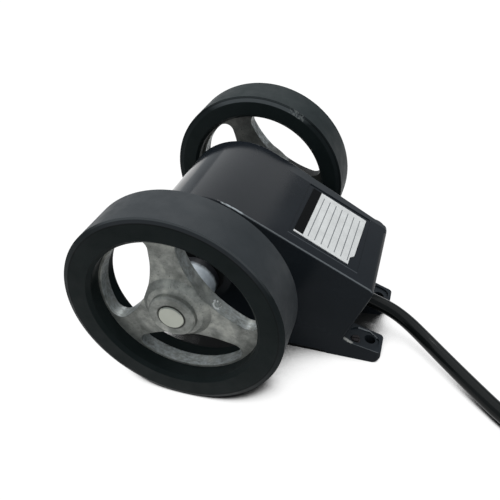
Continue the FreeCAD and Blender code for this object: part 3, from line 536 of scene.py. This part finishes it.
def paint():
    """Black enamel: glossy on top, most so on the nose, with satin walls, a chip on the foot, a pale line on
    the recess rim and highlights painted on the near top edge and the near foot.
    """
    mat = Mat("black_enamel", srgb(28, 30, 33), 0.12, spec=0.4)
    cloud = mat.noise(22.0)
    patch = mat.spread(cloud)
    top = mat.times(mat.span(mat.facing(Z_AXIS), 0.3, 0.5), mat.span(mat.along(ORIGIN, Z_AXIS), *TOP_FROM_Z))
    rear = mat.span(mat.along(AXLE, CAST_X), *REAR_FROM_X, smooth=True)
    rim = mat.times(rear, mat.span(mat.along(AXLE, Y_AXIS), *RIM_FROM_Y))

    tone = mat.mix(top, mat.mix(patch, *ENAMEL_WALL), mat.mix(patch, *ENAMEL_TOP))
    tone = mat.mix(mat.scaled(rim, 0, 0.8), tone, RIM_TONE)
    for marking in (edge_highlight, recess_line, foot_chip_and_highlights):
        tone = marking(mat, tone)
    mat.feed("Base Color", tone)

    nose = mat.below(mat.along(SHINE_LINE, SHINE_ACROSS), *SHINE_FADES)
    gloss = mat.math("ADD", mat.scaled(rear, 0.16, 0.175), mat.scaled(nose, 0, 0.08))
    rear_wall = mat.span(mat.facing(X_AXIS), 0.6, 0.85, 1.0, 0.25)
    mat.feed("Specular IOR Level", mat.times(gloss, mat.scaled(top, 0.3, 1.0), rear_wall))
    rough = mat.math("ADD", mat.span(cloud, 0.2, 0.8, 0.1, 0.15), mat.scaled(top, 0.14, 0))
    mat.feed("Roughness", rough)
    mat.bump(mat.noise(4.5), 0.012)
    mat.bump(mat.noise(1.1, 4.0), 0.004)
    return mat


# ---------------------------------------------------------------- tyres
# bands and sheen: the tread's two tones and its specular level. edge and bevel: width in mm and the pale
# tone painted on them as a highlight over the upper arc. line: how far in the dark line lies, mm. The arc:
# middle of the arc with the painted shoulder highlight in degrees, and where out along it, in mm, the
# painted highlight starts and is full. rub_at: a spot rubbed pale.
LEFT_TYRE = {
    "bands": (srgb(50, 54, 57), srgb(58, 62, 65)),
    "sheen": 0.14,
    "edge": (0.8, srgb(93, 97, 99)),
    "bevel": (2.2, srgb(60, 63, 66)),
    "line": 2.4,
    "highlight_arc": (78, 29.0, 38.0),
}
RIGHT_TYRE = {
    "bands": (srgb(42, 48, 49), srgb(48, 54, 55)),
    "sheen": 0.05,
    "edge": (0.55, srgb(60, 66, 67)),
    "bevel": (2.9, srgb(98, 103, 105)),
    "line": 0.85,
    "highlight_arc": (88, 36.5, 42.0),
    "rub_at": (-55.5, 51.2, 87.6),
}
# the face is painted darker than the tread, as shade on the same rubber
TYRE_FACE_IN_SHADE = (srgb(27, 34, 34), srgb(34, 41, 41))
SHOULDER_TONE = srgb(36, 42, 43)
TYRE_LINE_TONE = srgb(16, 19, 20)
TYRE_RUB_TONE = srgb(150, 154, 152)
TREAD_FROM_R = (44.0, 45.0)
TYRE_RUB_REACH = 6.5
RING_SOFT = 0.1
LINE_FADES = (0.12, 0.4)


def rubber(name, bands, sheen, edge, bevel, line, highlight_arc, rub_at=None):
    """Moulded rubber: ringed face painted dark as shade, ground tread, shoulder painted pale as a highlight
    on one arc.
    """
    mat = Mat(name, srgb(46, 50, 54), 0.5, spec=0.2)
    r = mat.radius()
    tread = mat.times(mat.below(mat.sideways(), 0.5, 0.7), mat.span(r, *TREAD_FROM_R))
    patch = mat.spread(mat.noise(16.0, 4.0))
    # the arc where the shoulder is painted pale as a highlight
    middle, starts, full = highlight_arc
    arc = mat.span(mat.along(AXLE, outward(middle)), starts, full)

    tone = mat.mix(patch, *TYRE_FACE_IN_SHADE)
    rings = []
    for width, pale in (bevel, edge):
        inner_r = WHEEL_R - width
        rings.append(mat.span(r, inner_r - RING_SOFT, inner_r + RING_SOFT))
        tone = mat.mix(rings[-1], tone, mat.mix(arc, SHOULDER_TONE, pale))
    tone = mat.mix(tread, tone, mat.mix(patch, *bands))
    # a dark line painted round the shoulder, a set distance in from the rim
    dark_line = mat.span(mat.apart(r, WHEEL_R - line), *LINE_FADES, 0.7, 0.0)
    tone = mat.mix(dark_line, tone, TYRE_LINE_TONE)
    if rub_at:
        speck = mat.span(mat.noise(1.0, 4.0, 0.7), 0.46, 0.6)
        rub = mat.span(mat.times(mat.near(rub_at, TYRE_RUB_REACH), speck), 0.1, 0.5, 0.0, 0.8)
        rub = mat.times(rub, rings[0], mat.scaled(tread, 1, 0))
        tone = mat.mix(rub, tone, TYRE_RUB_TONE)
    mat.feed("Base Color", tone)

    mat.feed("Specular IOR Level", mat.scaled(tread, 0.07, sheen))
    mat.feed("Roughness", mat.spread(mat.noise(6.0), 0.42, 0.58))
    mat.bump(mat.line_noise(r, 0.5), 0.02)
    mat.bump(mat.line_noise(mat.along(AXLE, Y_AXIS), 0.35), 0.012)
    mat.bump(mat.noise(0.8), 0.012)
    return mat


# ---------------------------------------------------------------- hubs, mm
CAST_TONES = ((0.3, (116, 118, 113)), (0.5, (151, 153, 148)), (0.7, (188, 189, 181)))
PIT_TONE = (110, 111, 108)
FILED_TONE = srgb(200, 206, 207)
# the tone of the shadow painted on a hub's upward window walls
HUB_SHADOW_TONE = srgb(14, 15, 15)
SCRATCH_TONE = srgb(250, 252, 250)
SEAM_TONE = srgb(38, 38, 36)
WINDOW_FROM_R = (14.0, 18.0)
HUB_SHADOW_FROM = (12.0, 14.0)
SCRATCH_REACH = 3.6
SEAM_FROM_R = (5.3, 5.5)
SEAM_UP_TO_R = (6.0, 6.5)
LEFT_SCRATCH = (-60.9, -56.6, 50.6)
RIGHT_SCRATCH = (-60.0, 58.0, 60.0)
# the far hub: its tones dimmed as painted shade, and upward window walls on one side painted dark as shadow
RIGHT_SHADE = 0.68
RIGHT_HUB_SHADOW = -8.0


def cast_aluminium(name, scratch, shade=1.0, shadow_angle=None):
    """Sand-cast aluminium: blotched face, pale filed window walls, a dark line round the shaft.

    The scratch is one small ring. All tones are dimmed by shade, as painted shade. Where the last argument
    gives an angle, upward window walls on that side of the axle are painted dark as shadow.
    """

    def dimmed(tone):
        return srgb(*(v * shade for v in tone))

    mat = Mat(name, srgb(128, 128, 124), 0.5, metal=0.5, spec=0.4)
    blotch = mat.noise(7.0, 5.0, 0.65)
    fine = mat.noise(0.8, 4.0, 0.6)
    tone = mat.ramp(blotch, [(at, dimmed(tone)) for at, tone in CAST_TONES])
    tone = mat.mix(mat.span(fine, 0.3, 0.4), dimmed(PIT_TONE), tone)

    r = mat.radius()
    wall = mat.below(mat.sideways(), 0.3, 0.6)
    streak = mat.noise(1.8, 5.0, 0.7, stretch=(0.7, 1.3, 0.7))
    filed = mat.times(wall, mat.span(r, *WINDOW_FROM_R), mat.span(streak, 0.42, 0.62, 0.12, 0.85))
    tone = mat.mix(filed, tone, FILED_TONE)
    if shadow_angle is not None:
        shadowed = mat.times(wall, mat.span(mat.along(AXLE, outward(shadow_angle)), *HUB_SHADOW_FROM))
        shadowed = mat.times(shadowed, mat.span(mat.facing(Z_AXIS), 0.3, 0.6))
        tone = mat.mix(shadowed, tone, HUB_SHADOW_TONE)
    ring = mat.below(mat.apart(mat.near(scratch, SCRATCH_REACH), 0.5), 0.12, 0.18)
    ring = mat.times(ring, mat.span(mat.noise(1.8), 0.42, 0.47))
    tone = mat.mix(ring, tone, SCRATCH_TONE)
    seam = mat.times(mat.span(r, *SEAM_FROM_R), mat.below(r, *SEAM_UP_TO_R))
    tone = mat.mix(mat.scaled(seam, 0, 0.85), tone, SEAM_TONE)
    mat.feed("Base Color", tone)

    mat.feed("Roughness", mat.spread(blotch, 0.62, 0.44))
    mat.soften(0.6)
    mat.bump(mat.noise(3.5), 0.08)
    mat.bump(fine, 0.04)
    return mat


# ---------------------------------------------------------------- turned and plain pieces
def turned_metal(name, color, rough):
    """Lathe-turned metal with fine marks round the axle."""
    mat = Mat(name, color, rough, metal=1.0)
    mat.feed("Roughness", mat.spread(mat.noise(5.0), rough - 0.06, rough + 0.1))
    mat.bump(mat.line_noise(mat.radius(), 0.25), 0.01)
    mat.bump(mat.noise(0.7), 0.006)
    return mat


def plain(name, color, rough, metal=0.0, grain=1.0, depth=0.02, spec=0.5):
    """A simple surface with slight colour change, grain and uneven gloss."""
    mat = Mat(name, color, rough, metal, spec)
    cloud = mat.noise(8.0 * grain)
    low = tuple(c * 0.86 for c in color[:3]) + (1.0,)
    mat.feed("Base Color", mat.mix(mat.spread(cloud), low, color))
    mat.feed("Roughness", mat.spread(cloud, rough - 0.05, rough + 0.08))
    mat.bump(mat.noise(grain), depth)
    return mat


SPACER_PALE = (srgb(186, 194, 202), srgb(210, 218, 223))
# the sleeve's end by the bearing is painted dark as shadow
SPACER_SHADOW_TONE = srgb(26, 27, 32)
SPACER_SHADOW_FADES = (44.2, 46.2)


def spacer_metal():
    """Pale sleeve, painted dark as shadow at the end by the bearing."""
    mat = Mat("spacer_metal", srgb(200, 208, 214), 0.42, 0.2)
    cloud = mat.noise(2.2, 4.0)
    from_middle = mat.math("ABSOLUTE", mat.along(AXLE, Y_AXIS))
    ragged = mat.math("ADD", from_middle, mat.spread(cloud, -0.3, 0.3))
    unshadowed = mat.span(ragged, *SPACER_SHADOW_FADES)
    mat.feed("Base Color", mat.mix(unshadowed, SPACER_SHADOW_TONE, mat.mix(mat.spread(cloud), *SPACER_PALE)))
    mat.feed("Roughness", mat.spread(cloud, 0.36, 0.5))
    mat.bump(mat.noise(0.5), 0.015)
    return mat


# ---------------------------------------------------------------- label, mm from the axle along the top
LABEL_X = 41.8
LABEL_TURN = math.radians(-1.2)
LABEL_WHITE = (srgb(216, 216, 214), srgb(232, 232, 230))
RULE_TONE = srgb(120, 122, 124)
HEADER_TONE = srgb(16, 17, 18)
HEADER_UP_TO_X = (31.0, 31.15)
HEADER_FROM_Y = (-18.1, -18.0)
RULES_X = (32.5, 55.0)
RULES_Y = (-17.1, 16.0)
RULE_FROM = 33.2
RULE_PITCH = 3.45
RULE_SHARE = 0.13
PRINT_EDGE = 0.1


def label_print():
    """White film with a black header band and thin ruled lines, no lettering."""
    mat = Mat("label_film", srgb(226, 226, 224), 0.42, spec=0.4)
    down, across = Vector(CAST_X), Vector(Y_AXIS)
    turn_cos, turn_sin = math.cos(LABEL_TURN), math.sin(LABEL_TURN)
    middle = Vector(AXLE) + down * LABEL_X
    x = mat.math("ADD", mat.along(middle, down * turn_cos + across * turn_sin), LABEL_X)
    y = mat.along(middle, across * turn_cos - down * turn_sin)

    rows = mat.math("FRACT", mat.math("DIVIDE", mat.math("SUBTRACT", x, RULE_FROM), RULE_PITCH))
    field = mat.times(mat.between(x, *RULES_X, PRINT_EDGE), mat.between(y, *RULES_Y, PRINT_EDGE))
    rule = mat.times(mat.math("LESS_THAN", rows, RULE_SHARE), field)
    header = mat.times(mat.span(y, *HEADER_FROM_Y), mat.below(x, *HEADER_UP_TO_X))
    white = mat.mix(mat.spread(mat.noise(7.0, 4.0)), *LABEL_WHITE)
    mat.feed("Base Color", mat.mix(header, mat.mix(rule, white, RULE_TONE), HEADER_TONE))
    mat.feed("Specular IOR Level", mat.scaled(header, 0.4, 0.03))
    mat.bump(mat.noise(2.0), 0.015)
    return mat


# ---------------------------------------------------------------- finish of every node
# name, tone, then roughness, metal, grain in mm, depth in mm and specular, and the nodes that have it
PLAIN_FINISHES = [
    ("blacked_screw", (72, 68, 69), (0.45, 0.6, 0.6, 0.02), ["earth_screw"]),
    ("felt_ring", (46, 47, 48), (0.92, 0.0, 0.7, 0.15, 0.2), ["left_felt_seal", "right_felt_seal"]),
    ("gasket_sheet", (38, 38, 38), (0.7, 0.0, 1.0, 0.02), ["cover_gasket"]),
    ("grommet_soft", (34, 35, 36), (0.6, 0.0, 1.0, 0.03, 0.3), ["cable_grommet"]),
    ("tie_nylon", (40, 40, 42), (0.45, 0.0, 1.0, 0.02), ["cable_tie"]),
    ("natural_nylon", (222, 218, 202), (0.45, 0.0, 1.2, 0.02), ["drive_gear", "encoder_pinion"]),
    ("disc_film", (34, 34, 36), (0.35, 0.0, 1.0, 0.01), ["code_disc"]),
    ("solder_mask", (26, 96, 52), (0.3, 0.0, 1.0, 0.02), ["circuit_board"]),
    ("chip_epoxy", (38, 38, 40), (0.5, 0.0, 0.5, 0.01), ["optical_sensor", "board_chips"]),
    ("header_nylon", (226, 220, 200), (0.4, 0.0, 1.0, 0.02), ["wire_header"]),
    ("can_sleeve", (168, 170, 176), (0.3, 0.9, 1.0, 0.01), ["board_capacitor"]),
    ("core_jacket", (170, 40, 34), (0.45, 0.0, 0.6, 0.01), ["lead_wires"]),
    ("strap_loop", (40, 41, 44), (0.85, 0.0, 0.5, 0.12, 0.2), ["coil_tie"]),
    (
        "zinc_plate",
        (170, 170, 166),
        (0.34, 1.0, 0.6, 0.01),
        ["cover_screws", "hub_grub_screws", "board_screws", "gear_grub_screw", "shaft_circlips"],
    ),
    (
        "turned_brass",
        (196, 160, 84),
        (0.34, 1.0, 0.8, 0.01),
        ["left_bearing_cage", "right_bearing_cage", "encoder_bushes", "disc_hub"],
    ),
]
BEARING_PARTS = ("bearing_outer", "bearing_inner", "bearing_balls")


def dress_frame():
    dress(paint(), "housing", "side_cover")
    dress(label_print(), "label_plate")
    dress(rubber("left_rubber", **LEFT_TYRE), "left_tyre")
    dress(rubber("right_rubber", **RIGHT_TYRE), "right_tyre")
    dress(cast_aluminium("left_hub_casting", LEFT_SCRATCH), "left_hub")
    dress(cast_aluminium("right_hub_casting", RIGHT_SCRATCH, RIGHT_SHADE, RIGHT_HUB_SHADOW), "right_hub")
    dress(spacer_metal(), "left_spacer", "right_spacer")
    dress(turned_metal("shaft_steel", srgb(164, 167, 158), 0.32), "wheel_shaft")
    dress(turned_metal("encoder_steel", srgb(190, 190, 186), 0.28), "encoder_shaft")
    race = turned_metal("bearing_steel", srgb(198, 200, 204), 0.2)
    for part in BEARING_PARTS:
        dress(race, "left_" + part, "right_" + part)
    for name, tone, surface, nodes in PLAIN_FINISHES:
        dress(plain(name, srgb(*tone), *surface), *nodes)


# ---------------------------------------------------------------- stage and lights, m
WORLD_TINT = (0.93, 1.0, 1.05)
WORLD_STRENGTH = 0.46
FLOOR_HALF = 12.0
FLOOR_DROP = 0.00005
FLOOR_ALBEDO = 0.04
FLOOR_WHITE_MM = 1000.0
FLOOR_FADE_MM = 4000.0
SHADOW_REACH = 0.07
# how open the floor is to the sky, and how strongly it then shows white to the eye
SHADOW_STOPS = ((0.34, 0.0), (0.41, 0.7), (0.5, 1.0))


def floor_material():
    """White to the eye near the object, with a soft contact shadow, fading to the studio's tone."""
    mat = Mat("floor", (FLOOR_ALBEDO, FLOOR_ALBEDO, FLOOR_ALBEDO, 1), 0.9, spec=0.1)
    openness = mat.node("ShaderNodeAmbientOcclusion", samples=48)
    openness.inputs["Distance"].default_value = SHADOW_REACH
    stops = [(at, (v, v, v, 1.0)) for at, v in SHADOW_STOPS]
    pale = mat.node("ShaderNodeEmission")
    mat.link(mat.ramp(openness.outputs["AO"], stops), pale.inputs["Strength"])
    away = mat.span(mat.radius(ORIGIN, 2), FLOOR_WHITE_MM, FLOOR_FADE_MM, smooth=True)
    studio = (*(v * WORLD_STRENGTH for v in WORLD_TINT), 1)
    mat.link(mat.mix(away, (1, 1, 1, 1), studio), pale.inputs["Color"])

    added = mat.node("ShaderNodeAddShader")
    mat.link(mat.shader.outputs[0], added.inputs[0])
    mat.link(pale.outputs[0], added.inputs[1])
    ray = mat.node("ShaderNodeLightPath").outputs
    seen = mat.math("MAXIMUM", ray["Is Camera Ray"], ray["Is Glossy Ray"])
    seen = mat.math("MAXIMUM", seen, ray["Is Transmission Ray"])
    mix = mat.node("ShaderNodeMixShader")
    for source, socket in zip((seen, mat.shader.outputs[0], added.outputs[0]), mix.inputs):
        mat.link(source, socket)
    mat.link(mix.outputs[0], mat.tree.nodes["Material Output"].inputs["Surface"])
    return mat


def add_floor():
    mesh = bpy.data.meshes.new("floor")
    bm = bmesh.new()
    bmesh.ops.create_grid(bm, x_segments=1, y_segments=1, size=FLOOR_HALF)
    bm.to_mesh(mesh)
    bm.free()
    floor = bpy.data.objects.new("floor", mesh)
    floor.location.z = -FLOOR_DROP
    scene.collection.objects.link(floor)
    mesh.materials.append(floor_material().mat)


def add_world():
    world = bpy.data.worlds.new("studio")
    world.use_nodes = True
    back = world.node_tree.nodes["Background"]
    back.inputs["Color"].default_value = (*WORLD_TINT, 1)
    back.inputs["Strength"].default_value = WORLD_STRENGTH
    scene.world = world


def area_light(name, at, aim, size, power):
    data = bpy.data.lights.new(name, "AREA")
    data.shape = "RECTANGLE"
    data.size, data.size_y = size
    data.energy = power
    lamp = bpy.data.objects.new(name, data)
    lamp.location = at
    lamp.rotation_euler = (Vector(aim) - Vector(at)).to_track_quat("-Z", "Y").to_euler()
    scene.collection.objects.link(lamp)


def add_lights():
    """A ceiling panel that reaches back behind the object, a low panel and a small bright lamp."""
    area_light("ceiling", at=(-0.55, 1.0, 0.8), aim=(-0.55, 1.0, 0), size=(1.9, 2.8), power=15.9)
    area_light("back_left", at=(-0.85, 0.95, 0.22), aim=(-0.09, 0, 0.08), size=(0.5, 0.4), power=0.10)
    area_light("lamp", at=(-0.1, 0.45, 0.79), aim=(0.02, -0.02, 0), size=(0.1, 0.1), power=0.7)


# ---------------------------------------------------------------- build
add_camera()
sheath = cord_sheath()
signal_cable = make_cord(sheath)
leads = make_leads()
dress_frame()
dress(sheath, "cable_tail")
add_floor()
add_world()
add_lights()
scene.view_settings.view_transform = "Standard"
